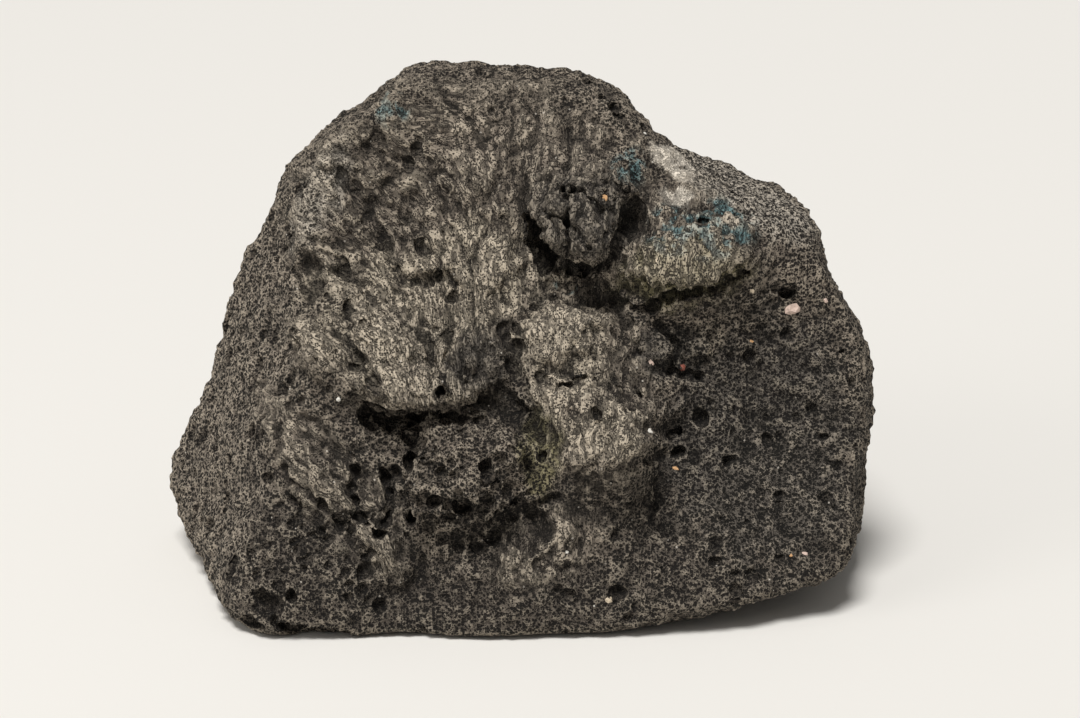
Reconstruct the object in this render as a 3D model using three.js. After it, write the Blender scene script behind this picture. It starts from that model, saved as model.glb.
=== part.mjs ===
// A hand-sized chunk of lava rock: one closed stone, broken off on all sides, that lies on a flat base.
// Millimetres, +Z up, +X to the right of the front face, -Y out of the front face. The origin is the middle
// of the stone's length and depth, at the height of the base.
import * as THREE from "three";
import { ImprovedNoise } from "three/addons/math/ImprovedNoise.js";

// Driving dimensions
const stoneColor = 0x4a4744;
const stoneRoughness = 0.95;
const meshDetail = 19; // 20 * (detail + 1)^2 triangles
const core = new THREE.Vector3(0, 8, 48); // the point that every face's distance is measured from
const farthest = 140; // no surface lies beyond this from the core
const searchSteps = 22; // halvings of that distance, down to less than a tenth of a micrometre
const edgeRounding = 3.5; // where two faces meet
const formRounding = 8; // where a hollow or a swelling meets the stone
const baseRounding = 3; // round the rim of the flat base

// The faces that the stone broke along: bearing round from the front towards +X, tilt above the horizontal,
// and distance from the core.
const front = { bearing: 0, tilt: 26, distance: 34 };
const left = { bearing: -64, tilt: 17.5, distance: 63.2 };
const rightShoulder = { bearing: 101, tilt: 59, distance: 65.5 };
const rightSide = { bearing: 84, tilt: 19, distance: 78 };
const backRight = { bearing: 118, tilt: 8, distance: 68 };
const back = { bearing: 172, tilt: 8, distance: 50 };
const backLeft = { bearing: -125, tilt: 18, distance: 61 };
const leftOfCrest = { bearing: -88, tilt: 50, distance: 72 };
const fractureFaces = [
  front,
  left,
  rightShoulder,
  rightSide,
  backRight,
  back,
  backLeft,
  leftOfCrest,
  { bearing: -77, tilt: -26, distance: 90 }, // under the left side
  { bearing: 0, tilt: 88, distance: 68 }, // crest
  { bearing: 60, tilt: 58, distance: 62 }, // front of the right shoulder
  { bearing: 80, tilt: -2, distance: 82 }, // right side, lower
  { bearing: 64, tilt: -44, distance: 87 }, // lower right corner
  { bearing: 22, tilt: -55, distance: 74 }, // under the front, right of the middle
  { bearing: 30, tilt: -66, distance: 67.5 }, // under the lower right corner, lifted off the ground
  { bearing: 170, tilt: 52, distance: 62 }, // behind the crest
  { bearing: 180, tilt: -35, distance: 72 }, // under the back
  { bearing: 100, tilt: -80, distance: 53 }, // underside, rising to the right of the base
  { bearing: 180, tilt: -78, distance: 53 }, // underside, rising behind the base
];

// Rounded forms on those faces, each an ellipsoid: its middle across and up from the middle of the face,
// how far it stands proud of the face (or, below zero, is hollowed into it), and its half-widths across the
// face, up it and out of it.
const forms = [
  { face: front, across: -12, up: -28, proud: 6, halfWidths: [52, 30, 22] }, // belly of the front
  { face: front, across: -28, up: 20, proud: -5, halfWidths: [28, 32, 20] }, // below the crest, left
  { face: front, across: 60, up: -18, proud: -14, halfWidths: [32, 42, 32] }, // scoop of the right face
  { face: front, across: 36, up: 18, proud: 5, halfWidths: [20, 12, 11] }, // ledge right of the knob
  { face: front, across: 8, up: -3, proud: 2, halfWidths: [15, 14, 8] }, // pale middle
  { face: front, across: -28, up: -10, proud: 8, halfWidths: [22, 8, 9] }, // lip over the porous mass
  { face: front, across: -48, up: -56, proud: 3.5, halfWidths: [20, 20, 14] }, // lower left corner
  { face: front, across: 6, up: -52, proud: 4, halfWidths: [26, 16, 10] }, // foot of the nose
  { face: front, across: 38, up: -6, proud: -6, halfWidths: [11, 10, 8] }, // under the ledge
  { face: front, across: 32, up: -32, proud: -6, halfWidths: [6, 16, 10] }, // valley right of the nose
  { face: front, across: -16, up: -20, proud: -1, halfWidths: [18, 4, 8] }, // crevice under the lip
  { face: front, across: 3, up: 20, proud: -6, halfWidths: [7, 10, 8] }, // left of the knob
  { face: front, across: 13, up: 11, proud: -7, halfWidths: [10, 6, 9] }, // under the knob
  { face: front, across: 15, up: 28, proud: 6, halfWidths: [13, 11, 10] }, // hanging knob
  { face: front, across: -10, up: -34, proud: 8, halfWidths: [15, 13, 10] }, // porous mass
  { face: front, across: 13, up: -16, proud: 8, halfWidths: [9, 7, 9] }, // lump above the nose
  { face: front, across: 18, up: -28, proud: 13, halfWidths: [12, 11, 15] }, // nose
  { face: rightShoulder, across: 8, up: -13, proud: -8, halfWidths: [42, 22, 20] }, // saddle
  { face: rightSide, across: 0, up: 1, proud: -3, halfWidths: [20, 9, 8] }, // notch under the corner
  { face: leftOfCrest, across: -12, up: 13, proud: -5, halfWidths: [16, 9, 10] }, // notch by the crest
  { face: left, across: 4, up: 4, proud: -3, halfWidths: [30, 44, 30] }, // hollow of the left face
  { face: back, across: -6, up: 18, proud: -7, halfWidths: [40, 30, 30] }, // hollow of the back
  { face: back, across: 20, up: -26, proud: 5, halfWidths: [26, 16, 12] }, // swelling low on the back
  { face: backLeft, across: -6, up: 0, proud: -6, halfWidths: [22, 34, 22] }, // hollow of the back left
  { face: backRight, across: 8, up: 10, proud: -5, halfWidths: [20, 28, 20] }, // hollow of the back right
];

// Unevenness everywhere: height of each wave and the width that it repeats over.
const unevenness = [
  { height: 2.4, width: 34 },
  { height: 1.2, width: 15 },
];

const noise = new ImprovedNoise();

// A face's own axes: across it to the right, up it and out of it.
function axesOf({ bearing, tilt }) {
  const turn = THREE.MathUtils.degToRad(bearing);
  const rise = THREE.MathUtils.degToRad(tilt);
  const level = Math.cos(rise);
  const across = new THREE.Vector3(Math.cos(turn), Math.sin(turn), 0);
  const out = new THREE.Vector3(Math.sin(turn) * level, -Math.cos(turn) * level, Math.sin(rise));
  const up = across.clone().cross(out).negate();
  return { across, up, out };
}

// The larger and the smaller of two depths, rounded over where they are alike.
function smoothMax(a, b, rounding) {
  const overlap = Math.max(rounding - Math.abs(a - b), 0) / rounding;
  return Math.max(a, b) + (overlap * overlap * rounding) / 4;
}

function smoothMin(a, b, rounding) {
  return -smoothMax(-a, -b, rounding);
}

// All depths below are negative inside the form and near to millimetres close to its surface.
const planes = fractureFaces.map((face) => ({ out: axesOf(face).out, distance: face.distance }));

const ellipsoids = forms.map(({ face, across, up, proud, halfWidths }) => {
  const axes = axesOf(face);
  const thickness = halfWidths[2];
  const outward = proud > 0 ? proud - thickness : proud + thickness;
  const middle = core
    .clone()
    .addScaledVector(axes.out, face.distance + outward)
    .addScaledVector(axes.across, across)
    .addScaledVector(axes.up, up);
  return { axes, middle, half: new THREE.Vector3(...halfWidths), isHollow: proud < 0 };
});

function planeDepth(fromCore, { out, distance }) {
  return fromCore.dot(out) - distance;
}

function ellipsoidDepth(point, { axes, middle, half }) {
  const offset = point.clone().sub(middle);
  const scaled = new THREE.Vector3(offset.dot(axes.across), offset.dot(axes.up), offset.dot(axes.out));
  scaled.divide(half);
  const reach = scaled.length();
  const slope = scaled.divide(half).length();
  return slope > 0 ? (reach * (reach - 1)) / slope : -Math.min(half.x, half.y, half.z);
}

function unevennessAt(point) {
  return unevenness.reduce(
    (sum, { height, width }) =>
      sum + height * noise.noise(point.x / width, point.y / width, point.z / width),
    0,
  );
}

function stoneDepth(point) {
  const fromCore = point.clone().sub(core);
  let depth = -farthest;
  for (const plane of planes) {
    depth = smoothMax(depth, planeDepth(fromCore, plane), edgeRounding);
  }
  for (const form of ellipsoids) {
    const formDepth = ellipsoidDepth(point, form);
    if (form.isHollow) depth = smoothMax(depth, -formDepth, formRounding);
    else depth = smoothMin(depth, formDepth, formRounding);
  }
  return smoothMax(depth + unevennessAt(point), -point.z, baseRounding);
}

// The distance from the core to the surface along a direction, no lower than the base.
function surfaceDistance(direction) {
  let inside = 0;
  let outside = farthest;
  for (let step = 0; step < searchSteps; step++) {
    const middle = (inside + outside) / 2;
    const depth = stoneDepth(core.clone().addScaledVector(direction, middle));
    if (depth < 0) inside = middle;
    else outside = middle;
  }
  const toBase = direction.z < 0 ? core.z / -direction.z : farthest;
  return Math.min(inside, toBase);
}

function makeStone() {
  const geometry = new THREE.IcosahedronGeometry(1, meshDetail);
  const position = geometry.getAttribute("position");
  const direction = new THREE.Vector3();
  for (let i = 0; i < position.count; i++) {
    direction.fromBufferAttribute(position, i).normalize();
    const point = core.clone().addScaledVector(direction, surfaceDistance(direction));
    position.setXYZ(i, point.x, point.y, point.z);
  }
  geometry.computeBoundingBox();
  const middle = geometry.boundingBox.getCenter(new THREE.Vector3());
  geometry.translate(-middle.x, -middle.y, 0);
  geometry.computeVertexNormals();
  const material = new THREE.MeshStandardMaterial({
    color: stoneColor,
    roughness: stoneRoughness,
    metalness: 0,
  });
  const stone = new THREE.Mesh(geometry, material);
  stone.name = "lava_rock";
  return stone;
}

const part = new THREE.Group();
part.add(makeStone());

export default part;
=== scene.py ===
import itertools
import math

import bmesh
import bpy
import numpy as np
import openvdb
from mathutils import Euler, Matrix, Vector
from mathutils.bvhtree import BVHTree


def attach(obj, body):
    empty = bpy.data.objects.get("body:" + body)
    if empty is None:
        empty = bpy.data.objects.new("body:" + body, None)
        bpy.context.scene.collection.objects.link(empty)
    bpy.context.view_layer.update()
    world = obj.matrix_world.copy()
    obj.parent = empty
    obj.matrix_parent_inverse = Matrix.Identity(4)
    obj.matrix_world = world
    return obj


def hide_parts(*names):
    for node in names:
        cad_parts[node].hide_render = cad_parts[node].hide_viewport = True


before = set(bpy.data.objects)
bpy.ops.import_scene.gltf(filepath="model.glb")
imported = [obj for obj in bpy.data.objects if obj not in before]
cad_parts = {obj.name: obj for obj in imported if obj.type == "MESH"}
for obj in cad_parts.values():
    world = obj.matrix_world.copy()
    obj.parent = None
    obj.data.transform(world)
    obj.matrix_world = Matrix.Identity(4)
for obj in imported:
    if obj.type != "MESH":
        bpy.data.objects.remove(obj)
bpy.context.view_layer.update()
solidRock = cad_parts["lava_rock"]
mm = 0.001

# The front of the stone leans back. Places on it are in mm across (to the right) and up its slope from its
# middle, and then out of it along a gentler slope.
front = {"middle": np.array([1.3, -32.1, 62.9]), "lean": math.radians(26), "outward": math.radians(17)}
front["out"] = np.array([0, -math.cos(front["outward"]), math.sin(front["outward"])])
front["axes"] = np.array([[1, 0, 0], [0, math.sin(front["lean"]), math.cos(front["lean"])], front["out"]])
front["inverse"] = np.linalg.inv(front["axes"])


def onFront(points):
    # turns places in mm into across, up and out of the front
    return (points - front["middle"]) @ front["inverse"]


def fromFront(across, up, out):
    return front["middle"] + np.array([across, up, out]) @ front["axes"]


def smoothMax(a, b, rounding):
    overlap = np.maximum(rounding - np.abs(a - b), 0) / rounding
    return np.maximum(a, b) + overlap * overlap * rounding / 4


def smoothMin(a, b, rounding):
    return -smoothMax(-a, -b, rounding)


def smoothStep(value, low, high):
    t = np.clip((value - low) / (high - low), 0, 1)
    return t * t * (3 - 2 * t)


def waves(points, width, seed):
    # gradient noise, about -1 to 1, that changes over the given width
    dice = np.random.default_rng(seed)
    order = dice.permutation(256)
    slopes = dice.normal(size=(256, 3))
    slopes = (slopes / np.linalg.norm(slopes, axis=1)[:, None]).astype(np.float32)
    turn = np.linalg.qr(dice.normal(size=(3, 3)))[0]  # so that no two noises share a grain
    scaled = points @ turn / width
    cell = np.floor(scaled)
    inside = (scaled - cell).astype(np.float32)
    cell = cell.astype(np.int64)
    fade = inside**3 * (inside * (inside * 6 - 15) + 10)
    total = np.zeros(len(points), np.float32)
    for corner in itertools.product((0, 1), repeat=3):
        x, y, z = (cell + corner).T
        slope = slopes[order[(order[(order[x & 255] + y) & 255] + z) & 255]]
        share = np.where(corner, fade, 1 - fade).prod(axis=1)
        total += share * ((inside - np.array(corner, np.float32)) * slope).sum(axis=1)
    return total * 1.7


# The block that the stone is carved from: depths on a lattice.
block = {
    "cell": 0.5,  # mm
    "band": 5.0,  # mm, how far from the skin depths are known
    "margin": 8.0,  # mm of air around the stone
}


def roundedCopy(node):
    # the plain solid with its flat facets rounded, as points and quads in mm
    work = bpy.data.objects.new("work", node.data.copy())
    bpy.context.scene.collection.objects.link(work)
    shape = bmesh.new()
    shape.from_mesh(work.data)
    bmesh.ops.remove_doubles(shape, verts=shape.verts, dist=1e-6)
    shape.to_mesh(work.data)
    shape.free()
    rounding = work.modifiers.new("rounding", "SUBSURF")
    rounding.levels = 2
    evaluated = work.evaluated_get(bpy.context.evaluated_depsgraph_get())
    mesh = evaluated.to_mesh()
    points = np.empty(len(mesh.vertices) * 3, np.float32)
    mesh.vertices.foreach_get("co", points)
    corners = np.empty(len(mesh.loops), np.int32)
    mesh.loops.foreach_get("vertex_index", corners)
    evaluated.to_mesh_clear()
    bpy.data.objects.remove(work)
    return points.reshape(-1, 3) / mm, corners.reshape(-1, 4).astype(np.uint32)


class Block:
    # depth below the skin in mm at each lattice cell: negative inside the stone

    def __init__(self, node):
        points, quads = roundedCopy(node)
        cell = block["cell"]
        grid = openvdb.FloatGrid.createLevelSetFromPolygons(
            points,
            quads=quads,
            transform=openvdb.createLinearTransform(cell),
            halfWidth=block["band"] / cell,
        )
        self.low = np.floor((points.min(axis=0) - block["margin"]) / cell).astype(int)
        high = np.ceil((points.max(axis=0) + block["margin"]) / cell).astype(int)
        self.depths = np.empty(tuple(high - self.low), np.float32)
        grid.copyToArray(self.depths, ijk=tuple(int(n) for n in self.low))

    def at(self, points):
        # depths at places between the cells
        scaled = points / block["cell"] - self.low
        base = np.clip(np.floor(scaled).astype(int), 0, np.array(self.depths.shape) - 2)
        part = scaled - base
        total = np.zeros(len(points), np.float32)
        for corner in itertools.product((0, 1), repeat=3):
            share = np.where(corner, part, 1 - part).prod(axis=1)
            x, y, z = (base + corner).T
            total += share * self.depths[x, y, z]
        return total

    def around(self, middle, reach):
        # the lattice within reach of a place, and the places of its cells
        cell = block["cell"]
        first = np.maximum(np.floor((middle - reach) / cell).astype(int) - self.low, 0)
        last = np.minimum(np.ceil((middle + reach) / cell).astype(int) - self.low + 1, self.depths.shape)
        last = np.maximum(last, first)
        part = tuple(slice(a, b) for a, b in zip(first, last))
        ranges = [(np.arange(a, b) + start) * cell for a, b, start in zip(first, last, self.low)]
        return part, np.stack(np.meshgrid(*ranges, indexing="ij"), axis=-1)

    def add(self, part, shape, rounding):
        self.depths[part] = smoothMin(self.depths[part], shape, rounding)

    def take(self, part, shape, rounding):
        self.depths[part] = smoothMax(self.depths[part], -shape, rounding)

    def seat(self, across, up):
        # how far out of the front plane the skin lies at a place on it
        outs = np.arange(45, -60, -0.25)
        depths = self.at(np.array([fromFront(across, up, out) for out in outs]))
        return outs[np.argmax(depths < 0)] if depths.min() < 0 else outs[np.argmin(depths)]

    def skin(self):
        grid = openvdb.FloatGrid(block["band"])
        grid.copyFromArray(self.depths, ijk=tuple(int(n) for n in self.low))
        grid.transform = openvdb.createLinearTransform(block["cell"])
        return grid.convertToPolygons(isovalue=0.0, adaptivity=0.0)


def ragged(local, size):
    # shifts places about, less so in and out, so that carved borders come out uneven
    turned = local[..., [1, 2, 0]]
    shift = np.sin(turned * 0.9 + 1.7) + 0.6 * np.sin(local[..., [2, 0, 1]] * 2.1 + turned * 0.7 + 0.4)
    return local + size * shift * (1, 1, 0.15)


# Lumps and pits on the front, all ellipsoids: where, how far the middle is sunk below the skin, half-widths
# across, up and out, and an anticlockwise turn in degrees.
lumpRounding = 1.6  # mm, where a lump meets the stone, if it doesn't say
pitRounding = 1.0
grooveRounding = 0.8
lumps = [
    {"at": (15, 29), "sink": 2, "half": (12, 9, 8), "turn": 25},  # hanging knob
    {"at": (16, 22), "sink": 0, "half": (5, 6, 5), "turn": -20},  # tip of the knob
    {"at": (38, 18), "sink": 4, "half": (16, 9, 8), "turn": 12},  # ledge
    {"at": (11, 8), "sink": 2, "half": (7, 4, 4), "turn": -25},  # tongue under the knob
    {"at": (30, -4), "sink": 1, "half": (5, 4, 4), "turn": 60},
    {"at": (39, -3), "sink": 0, "half": (4, 3, 3), "turn": 10},
    {"at": (13, -16), "sink": 2, "half": (8, 5, 6), "turn": 20},  # lump above the nose
    {"at": (-30, -4), "sink": 1.5, "half": (13, 5.5, 7), "turn": -58, "rounding": 2},  # lobe above the lip
    {"at": (-44, -6), "sink": 2.5, "half": (12, 5, 6), "turn": -50, "rounding": 2},
    {"at": (-19, 16), "sink": 2.5, "half": (9, 4.5, 5), "turn": 20, "rounding": 1.2},  # lump in the hollow
    {"at": (-6, 14), "sink": 3, "half": (6, 8, 5), "turn": -20, "rounding": 2},
    {"at": (8, -2), "sink": 2, "half": (10, 7, 5), "turn": 25, "rounding": 2},  # pale tongue
    {"at": (4, -15), "sink": 2, "half": (4, 9, 4), "turn": 5, "rounding": 2},
    {"at": (-24, -12), "sink": 1, "half": (15, 5, 7), "turn": -5},  # lip
    {"at": (-30, -18.5), "sink": 2, "half": (4, 3, 3)},  # little cauliflower under the lip
    {"at": (-12, -24), "sink": 1, "half": (11, 7, 7), "turn": -10, "rounding": 3},  # top of the porous mass
    {"at": (-11, -31), "sink": 4, "half": (14, 11, 10), "turn": 10},  # porous mass
    {"at": (-3, -26), "sink": 1, "half": (5, 5, 5)},
    {"at": (-21, -36), "sink": 2, "half": (5, 6, 5), "turn": 20},
    {"at": (19, -24), "sink": 4, "half": (11, 8, 9), "turn": 15, "rounding": 3},  # nose
    {"at": (-44, -34), "sink": 3, "half": (6, 14, 6), "turn": 40},  # diagonal fold, lower left
    {"at": (-32, -47), "sink": 3, "half": (6, 11, 6), "turn": 35},
    {"at": (2, -46), "sink": 3, "half": (10, 6, 6), "turn": 30},  # foot of the nose
    {"at": (-9, -6), "sink": 2, "half": (7, 7, 4)},  # dark crumbly patch
]
pits = [
    {"at": (-30, 26), "sink": -7, "half": (18, 20, 9), "turn": 20, "rounding": 6},  # hollow below the crest
    {"at": (38, -23), "sink": -3.5, "half": (7, 13, 8), "turn": -25, "rounding": 4},  # top of the scoop
    {"at": (-49, 14), "sink": -1, "half": (3.5, 7, 5), "turn": 10, "rounding": 2},
    {"at": (-6, -47), "sink": -2, "half": (16, 5, 6), "turn": 20, "rounding": 4},  # under the porous mass
    {"at": (5, 20), "sink": -1, "half": (3, 7, 7), "turn": 5},  # left of the knob
    {"at": (25, 26), "sink": 0, "half": (3, 6, 6), "turn": -20},  # right of the knob
    {"at": (-34, -20.5), "sink": -0.5, "half": (2.2, 1.1, 4), "turn": -35},  # under the lip
    {"at": (24, 0), "sink": -1, "half": (1.6, 8, 4), "turn": 10},
    {"at": (-57.3, -60.8), "sink": -1, "half": (3.8, 3.2, 4)},  # burst bubble
    {"at": (-60.5, -65.2), "sink": 0, "half": (2.5, 1.7, 3)},
    {"at": (-54.2, -12.8), "sink": 0, "half": (1.8, 1.6, 3)},
    {"at": (-24.8, -29), "sink": 0, "half": (1.3, 2.4, 5)},
    {"at": (-28, -31.5), "sink": 0, "half": (1.1, 1.4, 3)},
    {"at": (-17.5, -30.8), "sink": 0, "half": (1, 1, 3)},
    {"at": (-8.3, -29.5), "sink": 0, "half": (0.9, 0.9, 3)},
    {"at": (-13, -38.6), "sink": 0, "half": (2.2, 1.8, 5)},
    {"at": (-19.4, -37.5), "sink": 0, "half": (1.5, 1.3, 4)},
    {"at": (-24.5, -41.3), "sink": 0, "half": (1.4, 1.8, 4)},
    {"at": (-31.4, -45.3), "sink": 0, "half": (1.4, 1.0, 3)},
    {"at": (-22.7, 20.2), "sink": 0, "half": (1.1, 1.4, 3)},
    {"at": (18.2, 55.1), "sink": 0, "half": (1.0, 1.1, 3)},
    {"at": (21.4, 53), "sink": 0, "half": (1.2, 1.1, 3)},
    {"at": (60.3, 9.4), "sink": 0, "half": (1.6, 1.0, 4)},
    {"at": (68.5, -23.6), "sink": 0, "half": (1.1, 0.8, 2)},
    {"at": (58.6, -36.8), "sink": 0, "half": (1.3, 0.8, 2)},
    {"at": (43.1, -51.5), "sink": 0, "half": (1.4, 0.7, 2)},
    {"at": (48, -28.8), "sink": 0, "half": (1.0, 0.7, 2)},
    {"at": (34.5, -22.5), "sink": 0, "half": (1.6, 1.0, 3)},
]


def carveEllipsoid(stone, form, isLump):
    across, up = form["at"]
    out = stone.seat(across, up) - form["sink"]
    rounding = form.get("rounding", lumpRounding if isLump else pitRounding)
    half = np.array(form["half"], float)
    part, cells = stone.around(fromFront(across, up, out), half.max() + rounding + 1)
    offset = ragged(onFront(cells), 0.09 * half.min()) - np.array([across, up, out])
    turn = math.radians(form.get("turn", 0))
    turned = np.stack([
        offset[..., 0] * math.cos(turn) + offset[..., 1] * math.sin(turn),
        offset[..., 1] * math.cos(turn) - offset[..., 0] * math.sin(turn),
        offset[..., 2],
    ], axis=-1) / half
    reach = np.linalg.norm(turned, axis=-1)
    slope = np.linalg.norm(turned / half, axis=-1)
    shape = np.where(slope > 0, reach * (reach - 1) / np.maximum(slope, 1e-3), -half.min())
    if isLump:
        stone.add(part, shape, rounding)
    else:
        stone.take(part, shape, rounding)


# Grooves, each a line drawn on the skin: "deep" times deeper than half its width, leaning by "lean"
# (across, up) for each mm that it goes in.
grooves = [
    {"path": [(-35, -18.5), (-29, -20.5), (-23, -20)], "half": 1.3, "deep": 3.2, "lean": (0, 0.4)},
    {"path": [(-23, -20), (-16, -18.5), (-9, -19.5), (-4, -20.5), (1, -23)], "half": 0.6, "deep": 3.2},
    {"path": [(3, 25), (4, 19), (8.5, 15), (15, 14)], "half": 2.0, "deep": 3, "lean": (0, 0.4)},
    {"path": [(15, 14), (19, 15.5), (22, 21), (26, 27)], "half": 0.9, "deep": 3.4, "lean": (0, 0.3)},
    {"path": [(5, 35), (13, 31), (20, 25), (23, 21)], "half": 0.7, "deep": 2.2},
    {"path": [(4, 29), (10, 25), (15, 19)], "half": 0.8, "deep": 2.4},
    {"path": [(9, 38), (17, 35), (26, 31)], "half": 0.6, "deep": 2.0},
    {"path": [(21, 6), (27, 5), (33, 8), (41, 9.5)], "half": 1.3, "deep": 2.6, "lean": (0, 0.6)},
    {"path": [(42, 10), (47, 11.5), (51, 14)], "half": 0.8, "deep": 2.2, "lean": (0, 0.6)},
    {"path": [(22, 6), (22.5, 1), (25, -4), (24, -9), (27, -14)], "half": 0.8, "deep": 2.4},
    {"path": [(31, 2), (35, -2), (34, -8), (40, -10)], "half": 0.8, "deep": 2.5},
    {"path": [(-37.6, -31), (-37, -38), (-33, -45)], "half": 0.6, "deep": 4.0},
    {"path": [(-31, -31), (-28.8, -35), (-29.5, -42)], "half": 0.9, "deep": 4.0},
    {"path": [(30, -20), (29, -27), (31.5, -33), (30, -39)], "half": 1.0, "deep": 2.2},
    {"path": [(-53, -30), (-51, -37), (-45, -44)], "half": 0.6, "deep": 2.0},
    {"path": [(-16, -46), (-6, -43), (2, -38), (8, -37)], "half": 0.8, "deep": 2.2},
    {"path": [(-4, 2), (-1.5, -3), (-2, -9), (2, -15), (4, -24)], "half": 0.7, "deep": 2.4},
    {"path": [(-16, 0), (-17, -6), (-12, -13)], "half": 0.9, "deep": 2.4},
    {"path": [(-39, 6), (-38, -2), (-34, -9), (-30, -15)], "half": 0.8, "deep": 2.4},
    {"path": [(-26, 8), (-22, 0), (-20, -7), (-17, -14)], "half": 0.8, "deep": 2.4},
    {"path": [(-28, 15), (-24, 12), (-17, 12.5), (-13, 9)], "half": 0.4, "deep": 3},
    {"path": [(-42, 38), (-36, 30), (-31, 21)], "half": 0.7, "deep": 2.4},
    {"path": [(-34, 43), (-28, 34), (-23, 26)], "half": 0.7, "deep": 2.4},
    {"path": [(-24, 44), (-20, 36), (-16, 28)], "half": 0.7, "deep": 2.0},
    {"path": [(-48, 22), (-42, 16), (-37, 12)], "half": 0.7, "deep": 2.4},
    {"path": [(4, -10), (8, -12.5), (14, -10), (20, -12)], "half": 0.6, "deep": 2.2},
    {"path": [(-53, -66), (-47, -68), (-40, -69)], "half": 2.0, "deep": 2.0},
]


def carveGroove(stone, line):
    places = np.array(line["path"], float)
    outs = np.array([stone.seat(across, up) for across, up in places])
    half, deep = line["half"], line["deep"]
    leanAcross, leanUp = line.get("lean", (0, 0))
    for (start, end), (outStart, outEnd) in zip(zip(places, places[1:]), zip(outs, outs[1:])):
        centre = (start + end) / 2
        span = end - start
        reach = np.linalg.norm(span) / 2 + half * deep + 2
        part, cells = stone.around(fromFront(centre[0], centre[1], (outStart + outEnd) / 2), reach)
        local = ragged(onFront(cells), 0.45)
        share = np.clip(((local[..., :2] - start) @ span) / (span @ span), 0, 1)
        below = outStart + (outEnd - outStart) * share - local[..., 2]
        across = local[..., 0] - start[0] - span[0] * share - leanAcross * below
        up = local[..., 1] - start[1] - span[1] * share - leanUp * below
        shape = np.sqrt(across**2 + up**2 + (below / deep) ** 2) - half
        stone.take(part, shape, grooveRounding)


def carveForms(stone):
    for form in lumps:
        carveEllipsoid(stone, form, True)
    for line in grooves:
        carveGroove(stone, line)
    for form in pits:
        carveEllipsoid(stone, form, False)


# Soft patches of the front: across, up, half-widths and a turn in degrees.
regions = {
    "folded": [
        (-12, 24, 40, 34, 0),
        (36, 20, 17, 14, 0),
        (16, -14, 14, 20, 0),
        (-28, -6, 24, 12, -15),
        (-42, -34, 8, 26, 38),
        (6, -48, 14, 8, 25),
    ],
    "ash": [(54, 30, 16, 7, -24), (-46, 32, 5, 14, -25), (46, 38, 12, 6, -30)],
    # painted shade: the bottom of the front, which faces down, is painted darker
    "paintedLowShade": [
        (0, -62, 80, 14, 0),
        (-42, -44, 20, 24, 0),
        (52, -46, 38, 20, -10),
        (-4, -46, 16, 10, 10),
        (18, -37, 12, 7, 0),
    ],
    "tan": [(-28, 2, 24, 16, -20), (8, -4, 12, 12, 0), (-8, 14, 18, 12, 0), (18, -22, 9, 7, 0)],
    "pale": [(8, -1.5, 10, 7, 20), (43, -2, 4, 4, 0), (-30, 3, 16, 5, -32), (5, -14, 4, 8, 0)],
    "olive": [(36, 14, 15, 8, 8), (4, -26, 5, 10, 0)],
    "teal": [(41, 24, 13, 8, 0), (24, 38, 4, 5, 0), (-30, 52, 5, 4, 0), (10, 11, 3, 2, 0)],
    "white": [(34, 40, 6, 3.4, -40), (35.7, 31, 5, 2.6, -15)],
    # dark patches; the wide one over the scoop on the right is painted shade
    "dark": [(-9, -6, 8, 7, 0), (34, -5, 9, 7, 0), (14, 26, 13, 11, 0), (55, -24, 24, 30, 0)],
}


def regionShare(points, normals, name):
    # 1 inside a region and 0 away from it, with a ragged border
    local = onFront(points)
    unevenness = waves(points, 6.0, 71) * 0.25 + waves(points, 2.5, 72) * 0.15
    share = np.zeros(len(points), np.float32)
    for across, up, halfAcross, halfUp, turn in regions[name]:
        angle = math.radians(turn)
        x = (local[:, 0] - across) * math.cos(angle) + (local[:, 1] - up) * math.sin(angle)
        y = (local[:, 1] - up) * math.cos(angle) - (local[:, 0] - across) * math.sin(angle)
        reach = np.sqrt((x / halfAcross) ** 2 + (y / halfUp) ** 2) + unevenness
        share = np.maximum(share, 1 - smoothStep(reach, 0.75, 1.15))
    facing = smoothStep(normals @ front["out"], -0.1, 0.25)
    return share * facing * smoothStep(local[:, 2], -100, -80)  # none on the back


# Round gas bubbles, cut open by the skin.
pores = {
    "seed": 11,
    "count": 3400,
    "smallest": 0.5,  # mm, radius
    "largest": 1.6,
    "rareness": 9.0,  # of the large ones
    "missing": 0.8,  # share of them left out of the folds
    "unevenness": (0.65, 1.3),
    "drawnOut": 0.8,  # how much taller they are on the left face
    "sink": 0.2,  # of the radius
    "rounding": 0.25,  # mm
    # where large ones crowd: across, up, half-widths, how many and the largest radius
    "crowds": [(-12, -35, 15, 13, 150, 1.7), (-48, -52, 14, 15, 90, 1.3), (-56, 2, 6, 30, 40, 1.2)],
}


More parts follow.
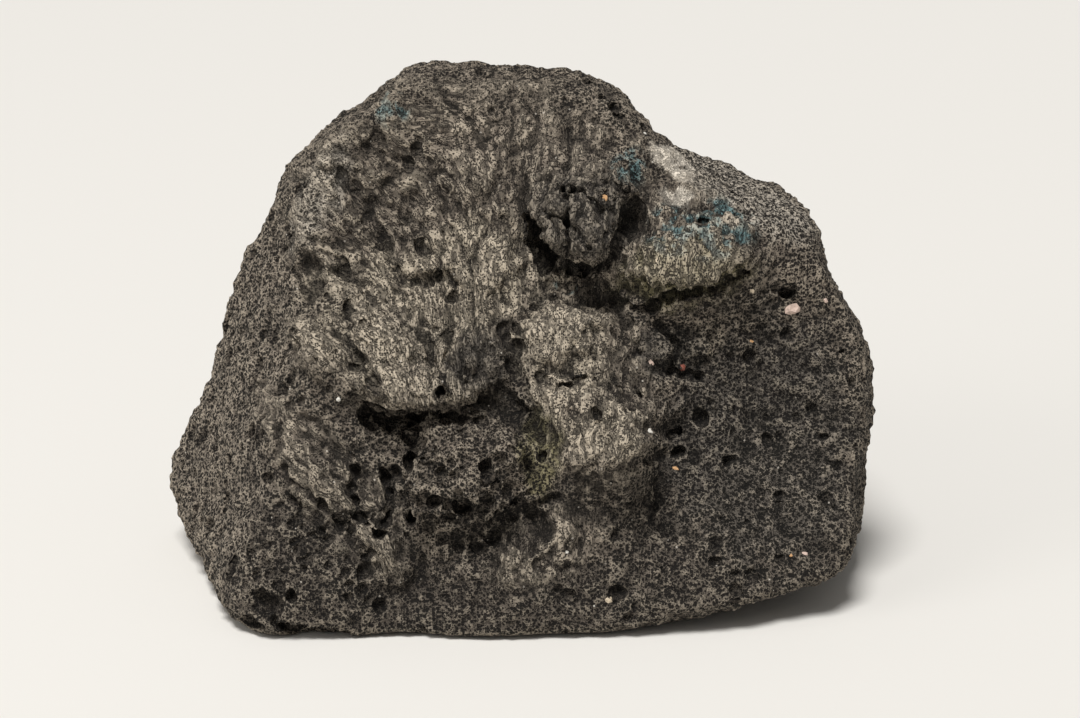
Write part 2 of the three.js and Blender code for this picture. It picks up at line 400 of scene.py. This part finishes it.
def carvePores(stone, points, normals):
    dice = np.random.default_rng(pores["seed"])
    chosen = dice.integers(len(points), size=pores["count"])
    spots, facing = points[chosen], normals[chosen]
    folded = regionShare(spots, facing, "folded")
    kept = dice.random(len(spots)) > folded * pores["missing"]
    spots, facing = spots[kept], facing[kept]
    spread = dice.random(len(spots)) ** pores["rareness"]
    radii = pores["smallest"] + (pores["largest"] - pores["smallest"]) * spread
    local = onFront(points)
    facesFront = normals @ front["out"] > 0.3
    for across, up, halfAcross, halfUp, count, largest in pores["crowds"]:
        near = ((local[:, 0] - across) / halfAcross) ** 2 + ((local[:, 1] - up) / halfUp) ** 2 < 1
        chosen = dice.choice(np.flatnonzero(near & facesFront), count)
        spots, facing = np.concatenate([spots, points[chosen]]), np.concatenate([facing, normals[chosen]])
        added = pores["smallest"] + (largest - pores["smallest"]) * dice.random(count) ** 2
        radii = np.concatenate([radii, added])
    tall = 1 + pores["drawnOut"] * smoothStep(-facing[:, 0], 0.5, 0.8)
    for middle, normal, radius, stretch in zip(spots, facing, radii, tall):
        middle = middle - normal * radius * pores["sink"]
        uneven = dice.uniform(*pores["unevenness"], 3) * (1, 1, stretch)
        part, cells = stone.around(middle, radius * uneven.max() + 0.8)
        reach = np.linalg.norm((cells - middle) / uneven, axis=-1)
        stone.take(part, (reach - radius) * uneven.min(), pores["rounding"])


# The skin over all of it.
skin = {
    "triangles": 198000,
    "folds": [
        {"height": 1.8, "width": 11, "seed": 3},
        {"height": 1.0, "width": 4.5, "seed": 4},
        {"height": 0.5, "width": 2.0, "seed": 5},
    ],
    "stretch": 2.2,  # folds are this much longer along the fibres than across them
    "bend": 0.6,  # of a fold's width, how far it wanders
    "foldedEverywhere": 0.12,  # share of the folds outside the folded patches
    "foldedInside": 0.75,
    "foldedMoreInDark": 0.3,
    "calmerInOlive": 0.6,
    "fibres": 0.25,  # mm
    "fibreSize": np.array([5.0, 1.2, 2.0]),  # mm along, across and out
    "swell": 0.7,  # mm
    "swellWidth": 5.0,
    "rasp": 0.45,  # mm
    "raspWidths": (2.6, 1.4),
    "inset": 0.5,  # mm, taken off all round
    "flatBase": (0.4, 3),  # mm above the ground, where the relief starts and is whole
    "dipRounds": 6,  # of smoothing, that the small dips are measured from
    "hollowRounds": 60,
}


def meshOf(name, points, triangles, quads):
    mesh = bpy.data.meshes.new(name)
    faces = np.concatenate([triangles.ravel(), quads.ravel()]).astype(np.int32)
    sizes = np.concatenate([np.full(len(triangles), 3), np.full(len(quads), 4)]).astype(np.int32)
    starts = np.concatenate([[0], np.cumsum(sizes)[:-1]]).astype(np.int32)
    mesh.vertices.add(len(points))
    mesh.vertices.foreach_set("co", (points * mm).astype(np.float32).ravel())
    mesh.loops.add(len(faces))
    mesh.loops.foreach_set("vertex_index", faces)
    mesh.polygons.add(len(sizes))
    mesh.polygons.foreach_set("loop_start", starts)
    mesh.update(calc_edges=True)
    return mesh


def meshArrays(mesh):
    points = np.empty(len(mesh.vertices) * 3, np.float32)
    mesh.vertices.foreach_get("co", points)
    normals = np.empty(len(mesh.vertices) * 3, np.float32)
    mesh.vertex_normals.foreach_get("vector", normals)
    return points.reshape(-1, 3) / mm, normals.reshape(-1, 3)


def largestShell(points, triangles, quads):
    # drops the walls of sealed bubbles and any crumb cut loose
    links = [quads[:, [a, b]] for a, b in ((0, 1), (1, 2), (2, 3))]
    links += [triangles[:, [a, b]] for a, b in ((0, 1), (1, 2))]
    links = np.concatenate(links).astype(np.int64)
    label = np.arange(len(points))
    while True:
        lowest = np.minimum(label[links[:, 0]], label[links[:, 1]])
        before = label.copy()
        np.minimum.at(label, links[:, 0], lowest)
        np.minimum.at(label, links[:, 1], lowest)
        label = label[label]
        if np.array_equal(label, before):
            break
    kept = label == np.bincount(label).argmax()
    number = np.cumsum(kept) - 1
    triangles = number[triangles[kept[triangles[:, 0]]]]
    quads = number[quads[kept[quads[:, 0]]]]
    return points[kept], triangles, quads


def flowOf(points):
    # places along and across the fibres: upright on the right, slanting around the upper left of the front
    local = onFront(points) - np.array([-18, 28, 0])
    slant = np.radians(90 + 45 * smoothStep(-local[:, 0], -16, 16))
    along = local[:, 0] * np.cos(slant) + local[:, 1] * np.sin(slant)
    across = local[:, 1] * np.cos(slant) - local[:, 0] * np.sin(slant)
    return np.stack([along, across, local[:, 2]], axis=1)


def crumple(mesh):
    points, normals = meshArrays(mesh)
    depth = skin["foldedInside"] + skin["foldedMoreInDark"] * regionShare(points, normals, "dark")
    folded = skin["foldedEverywhere"] + regionShare(points, normals, "folded") * depth
    folded *= 1 - skin["calmerInOlive"] * regionShare(points, normals, "olive")
    flow = flowOf(points)
    drawn = flow / np.array([skin["stretch"], 1, 1])
    lift = np.zeros(len(points), np.float32)
    for fold in skin["folds"]:
        width, seed = fold["width"], fold["seed"]
        bend = np.stack([waves(points, width * 1.4, seed + 20 + k) for k in range(3)], axis=1)
        crease = np.abs(waves(drawn + bend * width * skin["bend"], width, seed))
        lift += fold["height"] * (np.minimum(crease * 2.4, 1) ** 0.7 - 0.65) * folded
    coarse, fine = skin["raspWidths"]
    lift += skin["fibres"] * waves(flow / skin["fibreSize"], 1.0, 8) * folded
    lift += skin["swell"] * waves(points, skin["swellWidth"], 10)
    lift += skin["rasp"] * (waves(points, coarse, 11) + waves(points, fine, 9))
    lift = (lift - skin["inset"]) * smoothStep(points[:, 2], *skin["flatBase"])
    moved = points + normals * lift[:, None]
    moved[:, 2] = np.maximum(moved[:, 2], 0)
    mesh.vertices.foreach_set("co", (moved * mm).astype(np.float32).ravel())
    mesh.update()


def thinOut(rock):
    count = sum(len(face.vertices) - 2 for face in rock.data.polygons)
    thinning = rock.modifiers.new("thinning", "DECIMATE")
    thinning.ratio = skin["triangles"] / count
    thinning.use_collapse_triangulate = True
    evaluated = rock.evaluated_get(bpy.context.evaluated_depsgraph_get())
    mesh = bpy.data.meshes.new_from_object(evaluated)
    shape = bmesh.new()
    shape.from_mesh(mesh)
    bmesh.ops.dissolve_degenerate(shape, edges=shape.edges, dist=0.002 * mm)  # slivers on the flat base
    bmesh.ops.triangulate(shape, faces=shape.faces)
    shape.to_mesh(mesh)
    shape.free()
    rock.modifiers.clear()
    rock.data = mesh


def dips(mesh, points, normals, rounds):
    # how far each point lies below its neighbourhood, in mm
    edges = np.empty(len(mesh.edges) * 2, np.int32)
    mesh.edges.foreach_get("vertices", edges)
    a, b = edges.reshape(-1, 2).T
    count = np.bincount(a, minlength=len(points)) + np.bincount(b, minlength=len(points))
    smooth = points.astype(np.float64)
    for _ in range(rounds):
        total = [
            np.bincount(a, values[b], len(points)) + np.bincount(b, values[a], len(points))
            for values in smooth.T
        ]
        smooth = (smooth + np.stack(total, axis=1)) / (count + 1)[:, None]
    return ((smooth - points) * normals).sum(axis=1).astype(np.float32)


def storeValue(mesh, name, values):
    attribute = mesh.attributes.new(name, "FLOAT", "POINT")
    attribute.data.foreach_set("value", values.astype(np.float32))


def storeVector(mesh, name, vectors):
    attribute = mesh.attributes.new(name, "FLOAT_VECTOR", "POINT")
    attribute.data.foreach_set("vector", vectors.astype(np.float32).ravel())


def recordRegions(mesh):
    points, normals = meshArrays(mesh)
    for name in regions:
        storeValue(mesh, name, regionShare(points, normals, name))
    storeValue(mesh, "leftFace", smoothStep(-normals[:, 0], 0.35, 0.7))
    storeValue(mesh, "dip", dips(mesh, points, normals, skin["dipRounds"]))
    storeValue(mesh, "hollow", dips(mesh, points, normals, skin["hollowRounds"]))
    storeVector(mesh, "flow", flowOf(points) * mm)


def makeRock():
    stone = Block(solidRock)
    print("rock: solid read,", stone.depths.shape)
    carveForms(stone)
    print("rock: forms carved")
    points, normals = meshArrays(meshOf("plain", *stone.skin()))
    carvePores(stone, points, normals)
    print("rock: pores carved")
    mesh = meshOf("lava_rock_skin", *largestShell(*stone.skin()))
    print("rock: skin of", len(mesh.polygons), "faces")
    crumple(mesh)
    print("rock: crumpled")
    rock = bpy.data.objects.new("lava_rock_stone", mesh)
    bpy.context.scene.collection.objects.link(rock)
    thinOut(rock)
    rock.data.shade_smooth()
    recordRegions(rock.data)
    print("rock: thinned to", len(rock.data.polygons), "faces")
    return rock


# The stone's material.
stoneFinish = {
    "coal": (0.15, 0.125, 0.1, 1),
    "grey": (0.32, 0.268, 0.213, 1),
    # dark patches; over the scoop this is painted shade
    "dark": (0.125, 0.109, 0.092, 1),
    "tan": (0.52, 0.448, 0.346, 1),
    # pale stains, and also the colour of painted highlights on proud edges and folds
    "pale": (0.63, 0.543, 0.425, 1),
    "ash": (0.56, 0.5, 0.42, 1),
    # painted shade, darker towards the bottom of the front
    "paintedLowShade": (0.125, 0.105, 0.085, 1),
    "olive": (0.25, 0.22, 0.125, 1),
    "teal": (0.18, 0.3, 0.31, 1),
    "white": (0.95, 0.86, 0.73, 1),
    # painted shade, the near black laid into pores, creases, dips and hollows
    "paintedShade": (0.008, 0.007, 0.006, 1),
    "speck": (0.6, 0.55, 0.48, 1),
    # painted light: the left face is painted paler for the light that side gets
    "leftFace": (0.4, 0.343, 0.275, 1),
    # where the noise starts and stops letting each stain through
    "stains": (
        ("leftFace", -0.2, 1.2),
        ("ash", 0.15, 0.45),
        ("paintedLowShade", 0.0, 0.4),
        ("tan", 0.25, 0.55),
        ("pale", 0.3, 0.55),
        ("olive", 0.2, 0.5),
        ("teal", 0.46, 0.56),
        ("dark", 0.1, 0.4),
        ("white", 0.38, 0.44),
    ),
    "roughness": 0.92,
    "shine": 0.25,
    "bump": 0.4,  # mm
    "blotches": 90,  # per metre, as are all below
    "patches": 240,
    "grit": 2600,
    "fibres": 850,
    "creases": (260, 560),
    "specks": 800,
    "tinyPores": 3300,
    "finePores": 2200,
    "coarsePores": 1400,
}


def valueOf(nodes, name):
    attribute = nodes.new("ShaderNodeAttribute")
    attribute.attribute_name = name
    return attribute


def remap(nodes, links, source, low, high, toLow=0.0, toHigh=1.0):
    ramp = nodes.new("ShaderNodeMapRange")
    ramp.interpolation_type = "SMOOTHSTEP"
    ramp.inputs["From Min"].default_value = low
    ramp.inputs["From Max"].default_value = high
    ramp.inputs["To Min"].default_value = toLow
    ramp.inputs["To Max"].default_value = toHigh
    links.new(source, ramp.inputs["Value"])
    return ramp.outputs["Result"]


def combine(nodes, links, operation, a, b):
    step = nodes.new("ShaderNodeMath")
    step.operation = operation
    for socket, value in zip(step.inputs, (a, b)):
        if isinstance(value, (int, float)):
            socket.default_value = value
        else:
            links.new(value, socket)
    return step.outputs["Value"]


def blend(nodes, links, share, under, over):
    mix = nodes.new("ShaderNodeMix")
    mix.data_type = "RGBA"
    for socket, value in ((mix.inputs["Factor"], share), (mix.inputs["A"], under), (mix.inputs["B"], over)):
        if isinstance(value, (int, float, tuple)):
            socket.default_value = value
        else:
            links.new(value, socket)
    return mix.outputs["Result"]


def noiseOf(nodes, links, vector, scale, detail=4.0, roughness=0.55):
    noise = nodes.new("ShaderNodeTexNoise")
    noise.inputs["Scale"].default_value = scale
    noise.inputs["Detail"].default_value = detail
    noise.inputs["Roughness"].default_value = roughness
    links.new(vector, noise.inputs["Vector"])
    return noise.outputs["Fac"]


def poresOf(nodes, links, vector, scale, low, high):
    # 0 in the middle of a pore and 1 on the walls; each cell's pore has its own size
    cells = nodes.new("ShaderNodeTexVoronoi")
    cells.inputs["Scale"].default_value = scale
    links.new(vector, cells.inputs["Vector"])
    own = nodes.new("ShaderNodeSeparateColor")
    links.new(cells.outputs["Color"], own.inputs["Color"])
    size = remap(nodes, links, own.outputs["Red"], 0, 1, low, high)
    gap = combine(nodes, links, "SUBTRACT", cells.outputs["Distance"], size)
    return remap(nodes, links, gap, -0.12, 0.15)


def distorted(nodes, links, vector, scale, reach):
    # the same places, pushed about by up to half the reach
    noise = nodes.new("ShaderNodeTexNoise")
    noise.inputs["Scale"].default_value = scale
    noise.inputs["Detail"].default_value = 2
    links.new(vector, noise.inputs["Vector"])
    push = nodes.new("ShaderNodeVectorMath")
    push.operation = "MULTIPLY_ADD"
    links.new(noise.outputs["Color"], push.inputs[0])
    push.inputs[1].default_value = (reach, reach, reach)
    links.new(vector, push.inputs[2])
    return push.outputs["Vector"]


def creasesOf(nodes, links, vector, scale):
    # 0 along thin wandering lines and 1 between them
    noise = nodes.new("ShaderNodeTexNoise")
    noise.inputs["Scale"].default_value = scale
    noise.inputs["Detail"].default_value = 3
    noise.inputs["Distortion"].default_value = 0.8
    links.new(vector, noise.inputs["Vector"])
    off = combine(nodes, links, "SUBTRACT", noise.outputs["Fac"], 0.5)
    return remap(nodes, links, combine(nodes, links, "ABSOLUTE", off, 0), 0, 0.022)


def specksOf(nodes, links, vector):
    # scattered crystals, each a dot in the middle of one cell in a few
    cells = nodes.new("ShaderNodeTexVoronoi")
    cells.inputs["Scale"].default_value = stoneFinish["specks"]
    links.new(vector, cells.inputs["Vector"])
    own = nodes.new("ShaderNodeSeparateColor")
    links.new(cells.outputs["Color"], own.inputs["Color"])
    chosen = remap(nodes, links, own.outputs["Green"], 0.97, 0.99)
    dot = remap(nodes, links, cells.outputs["Distance"], 0.24, 0.14)
    return combine(nodes, links, "MULTIPLY", chosen, dot)


def stretched(nodes, links, vector, scale):
    mapping = nodes.new("ShaderNodeMapping")
    mapping.inputs["Scale"].default_value = scale
    links.new(vector, mapping.inputs["Vector"])
    return mapping.outputs["Vector"]


def stoneMaterial():
    material = bpy.data.materials.new("lava_stone")
    material.use_nodes = True
    nodes, links = material.node_tree.nodes, material.node_tree.links
    shader = nodes["Principled BSDF"]
    shader.inputs["Roughness"].default_value = stoneFinish["roughness"]
    shader.inputs["Specular IOR Level"].default_value = stoneFinish["shine"]
    place = nodes.new("ShaderNodeTexCoord").outputs["Object"]
    flow = valueOf(nodes, "flow").outputs["Vector"]
    folded = valueOf(nodes, "folded").outputs["Fac"]
    dip = valueOf(nodes, "dip").outputs["Fac"]
    hollow = valueOf(nodes, "hollow").outputs["Fac"]

    blotches = noiseOf(nodes, links, place, stoneFinish["blotches"], 6, 0.55)
    blotches = remap(nodes, links, blotches, 0.3, 0.7)
    tone = blend(nodes, links, blotches, stoneFinish["coal"], stoneFinish["grey"])
    stain = noiseOf(nodes, links, place, stoneFinish["patches"], 5, 0.55)
    # each stain laid over the tone; among them the low band is painted shade, the left face's paler tone is
    # painted light and the dark patch over the scoop is painted shade
    for name, low, high in stoneFinish["stains"]:
        patchy = remap(nodes, links, stain, low, high)
        share = combine(nodes, links, "MULTIPLY", valueOf(nodes, name).outputs["Fac"], patchy)
        tone = blend(nodes, links, share, tone, stoneFinish[name])
    # painted highlight on proud edges, which are painted paler, and painted shade in small dips, which are
    # painted dark
    paintedEdgeLight = remap(nodes, links, dip, -0.03, -0.3, 0, 0.25)
    tone = blend(nodes, links, paintedEdgeLight, tone, stoneFinish["pale"])
    paintedDipShade = remap(nodes, links, dip, 0.04, 0.4, 0, 0.45)
    tone = blend(nodes, links, paintedDipShade, tone, stoneFinish["paintedShade"])
    # painted highlight on proud folds outside the dark patches, and painted shade deep in the wide hollows
    lit = combine(nodes, links, "SUBTRACT", folded, valueOf(nodes, "dark").outputs["Fac"])
    paintedProudLight = combine(nodes, links, "MULTIPLY", lit, remap(nodes, links, hollow, -0.1, -0.9, 0, 0.45))
    tone = blend(nodes, links, combine(nodes, links, "MAXIMUM", paintedProudLight, 0), tone, stoneFinish["pale"])
    deep = remap(nodes, links, hollow, 0.2, 1.6, 0, 0.62)
    tone = blend(nodes, links, deep, tone, stoneFinish["paintedShade"])

    # foam: pores of three sizes with uneven rims, drawn out upright on the left face
    uneven = distorted(nodes, links, place, 1200, 0.00025)
    upright = stretched(nodes, links, uneven, (0.9, 0.9, 0.65))
    foam = poresOf(nodes, links, uneven, stoneFinish["finePores"], -0.1, 0.54)
    foamLeft = poresOf(nodes, links, upright, stoneFinish["finePores"], 0.0, 0.56)
    foam = blend(nodes, links, valueOf(nodes, "leftFace").outputs["Fac"], foam, foamLeft)
    tiny = poresOf(nodes, links, uneven, stoneFinish["tinyPores"], 0.1, 0.5)
    coarse = poresOf(nodes, links, uneven, stoneFinish["coarsePores"], 0.16, 0.62)
    foam = combine(nodes, links, "MINIMUM", foam, coarse)
    foam = combine(nodes, links, "MULTIPLY", foam, remap(nodes, links, tiny, 0, 1, 0.4, 1))

    # folds: fibres and thin wavy creases, with a few pores between
    wavy = distorted(nodes, links, flow, 230, 0.0032)
    along = stretched(nodes, links, wavy, (0.32, 1, 0.8))
    fibres = noiseOf(nodes, links, along, stoneFinish["fibres"], 2, 0.6)
    fibres = remap(nodes, links, fibres, 0.43, 0.51)
    wide, narrow = stoneFinish["creases"]
    creases = creasesOf(nodes, links, along, wide)
    creases = combine(nodes, links, "MINIMUM", creases, creasesOf(nodes, links, along, narrow))
    sparse = poresOf(nodes, links, uneven, stoneFinish["finePores"], -0.1, 0.54)
    folds = combine(nodes, links, "MULTIPLY", creases, remap(nodes, links, fibres, 0, 1, 0.35, 1))
    folds = combine(nodes, links, "MULTIPLY", folds, sparse)

    # painted shade: where the relief is low, in the middles of pores, in creases and between fibres, the
    # colour is painted near black
    relief = blend(nodes, links, folded, foam, folds)
    shade = combine(nodes, links, "SUBTRACT", 1, relief)
    shade = combine(nodes, links, "MULTIPLY", shade, remap(nodes, links, folded, 0, 1, 0.97, 0.92))
    grit = noiseOf(nodes, links, place, stoneFinish["grit"], 3, 0.75)
    tone = blend(nodes, links, remap(nodes, links, grit, 0.5, 0.75, 0, 0.3), tone, stoneFinish["pale"])
    # the white crust fills the pores that it covers
    filled = remap(nodes, links, valueOf(nodes, "white").outputs["Fac"], 0, 1, 1, 0.55)
    tone = blend(nodes, links, combine(nodes, links, "MULTIPLY", shade, filled), tone, stoneFinish["paintedShade"])
    tone = blend(nodes, links, specksOf(nodes, links, place), tone, stoneFinish["speck"])
    links.new(tone, shader.inputs["Base Color"])

    height = combine(nodes, links, "ADD", relief, combine(nodes, links, "MULTIPLY", grit, 0.6))
    bump = nodes.new("ShaderNodeBump")
    bump.inputs["Strength"].default_value = 1.0
    bump.inputs["Distance"].default_value = stoneFinish["bump"] * mm
    links.new(height, bump.inputs["Height"])
    links.new(bump.outputs["Normal"], shader.inputs["Normal"])
    return material


# Crystals caught in the front: across, up, width in mm and colour.
cream = (0.72, 0.6, 0.44)
orange = (0.72, 0.42, 0.2)
pink = (0.66, 0.5, 0.42)
chalk = (0.8, 0.77, 0.7)
rust = (0.3, 0.09, 0.06)
grains = [
    (18.3, 30.5, 1.7, orange),
    (61.8, 6.0, 4.4, pink),
    (51.8, 9.7, 1.7, cream),
    (52.3, -1.7, 1.8, orange),
    (69.2, 7.8, 1.4, pink),
    (30.0, 16.3, 1.5, cream),
    (29.4, -6.5, 1.6, pink),
    (28.2, -21.8, 1.8, chalk),
    (34.8, -30.8, 1.7, orange),
    (19.6, -60.0, 2.2, cream),
    (16.1, -61.1, 1.0, chalk),
    (10.1, -48.9, 1.2, chalk),
    (63.5, -50.0, 2.2, pink),
    (60.4, -50.4, 1.2, orange),
    (-40.5, -14.8, 1.4, chalk),
    (28.1, 46.3, 1.2, chalk),
    (36.6, -7.8, 1.6, rust),
]
grainShape = {"seed": 21, "jitter": 0.22, "sink": 0.25, "flatness": 0.7, "roughness": 0.55, "dust": 1400}


def addGrain(shape, tint, place, facing, width, color, dice):
    # one lumpy crystal lying in the surface
    first = len(shape.verts)
    bmesh.ops.create_icosphere(shape, subdivisions=2, radius=0.5)
    shape.verts.ensure_lookup_table()
    turn = facing.to_track_quat("Z", "Y") @ Euler((0, 0, dice.uniform(0, 6.28))).to_quaternion()
    stretch = Vector((1, dice.uniform(0.65, 0.95), grainShape["flatness"]))
    for vert in shape.verts[first:]:
        corner = vert.co * (1 + dice.uniform(-1, 1) * grainShape["jitter"])
        vert.co = place + turn @ (corner * stretch) * width * mm - facing * width * mm * grainShape["sink"]
        vert[tint] = (*color, 1)


def makeGrains(rock):
    dice = np.random.default_rng(grainShape["seed"])
    surface = BVHTree.FromObject(rock, bpy.context.evaluated_depsgraph_get())
    mesh = bpy.data.meshes.new("mineral_grains")
    shape = bmesh.new()
    tint = shape.verts.layers.float_color.new("tint")
    for across, up, width, color in grains:
        start = Vector(fromFront(across, up, 60)) * mm
        place, facing, _, _ = surface.ray_cast(start, -Vector(front["out"]))
        if place:
            addGrain(shape, tint, place, facing, width, color, dice)
    shape.to_mesh(mesh)
    shape.free()
    piece = bpy.data.objects.new("mineral_grains", mesh)
    bpy.context.scene.collection.objects.link(piece)
    return piece


def grainMaterial():
    material = bpy.data.materials.new("mineral_grain")
    material.use_nodes = True
    nodes, links = material.node_tree.nodes, material.node_tree.links
    shader = nodes["Principled BSDF"]
    shader.inputs["Roughness"].default_value = grainShape["roughness"]
    tint = valueOf(nodes, "tint").outputs["Color"]
    place = nodes.new("ShaderNodeTexCoord").outputs["Object"]
    dusty = remap(nodes, links, noiseOf(nodes, links, place, grainShape["dust"]), 0.5, 0.75, 0, 0.6)
    links.new(blend(nodes, links, dusty, tint, (0.2, 0.16, 0.12, 1)), shader.inputs["Base Color"])
    return material


studio = {
    "floorColor": (0.87, 0.85, 0.81, 1),
    "air": (0.95, 0.94, 0.92, 1),
    "airStrength": 0.22,
    "target": Vector((0.0054, -0.0095, 0.05)),
    "distance": 0.7,
    "height": 17.0,  # degrees above the horizon
    "lens": 100.3,  # mm, on a 36 mm wide sensor
    "sunStrength": 2.65,
    "sunSpread": 22,  # degrees
    "sunFrom": Vector((-0.14, -0.42, 1)),
    "sunColor": (1, 0.99, 0.975),
    "fillFrom": Vector((-0.8, -0.5, 0.5)),
    "fillSize": 0.6,
    "fillPower": 1.8,
    "fillColor": (1, 0.97, 0.93),
}


def makeFloor():
    bpy.ops.mesh.primitive_plane_add(size=8)
    floor = bpy.context.object
    floor.name = "studio_floor"
    material = bpy.data.materials.new("floor_paper")
    material.use_nodes = True
    shader = material.node_tree.nodes["Principled BSDF"]
    shader.inputs["Base Color"].default_value = studio["floorColor"]
    shader.inputs["Roughness"].default_value = 0.9
    floor.data.materials.append(material)


def makeFill():
    lamp = bpy.data.lights.new("fill", "AREA")
    lamp.size = studio["fillSize"]
    lamp.energy = studio["fillPower"]
    lamp.color = studio["fillColor"]
    holder = bpy.data.objects.new("fill", lamp)
    holder.location = studio["fillFrom"]
    aim = studio["target"] - studio["fillFrom"]
    holder.rotation_euler = aim.to_track_quat("-Z", "Y").to_euler()
    bpy.context.scene.collection.objects.link(holder)


def makeSun():
    sun = bpy.data.lights.new("key", "SUN")
    sun.energy = studio["sunStrength"]
    sun.angle = math.radians(studio["sunSpread"])
    sun.color = studio["sunColor"]
    holder = bpy.data.objects.new("key", sun)
    holder.rotation_euler = studio["sunFrom"].to_track_quat("Z", "Y").to_euler()
    bpy.context.scene.collection.objects.link(holder)


def makeLights():
    world = bpy.data.worlds.new("studio_air")
    world.use_nodes = True
    world.node_tree.nodes["Background"].inputs["Color"].default_value = studio["air"]
    world.node_tree.nodes["Background"].inputs["Strength"].default_value = studio["airStrength"]
    bpy.context.scene.world = world
    makeSun()
    makeFill()
    bpy.context.scene.view_settings.view_transform = "Standard"


def makeCamera():
    height = math.radians(studio["height"])
    away = Vector((0, -math.cos(height), math.sin(height)))
    lens = bpy.data.cameras.new("camera")
    lens.lens = studio["lens"]
    lens.sensor_width = 36
    lens.clip_start = 0.01
    camera = bpy.data.objects.new("camera", lens)
    camera.location = studio["target"] + away * studio["distance"]
    camera.rotation_euler = away.to_track_quat("Z", "Y").to_euler()
    bpy.context.scene.collection.objects.link(camera)
    bpy.context.scene.camera = camera


makeCamera()
makeLights()
makeFloor()
print("stage: ready")

rock = makeRock()
rock.data.materials.append(stoneMaterial())
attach(rock, "root")
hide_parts("lava_rock")
print("rock: finished")

speckles = makeGrains(rock)
speckles.data.materials.append(grainMaterial())
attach(speckles, "root")
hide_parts("lava_rock")
print("grains: finished")
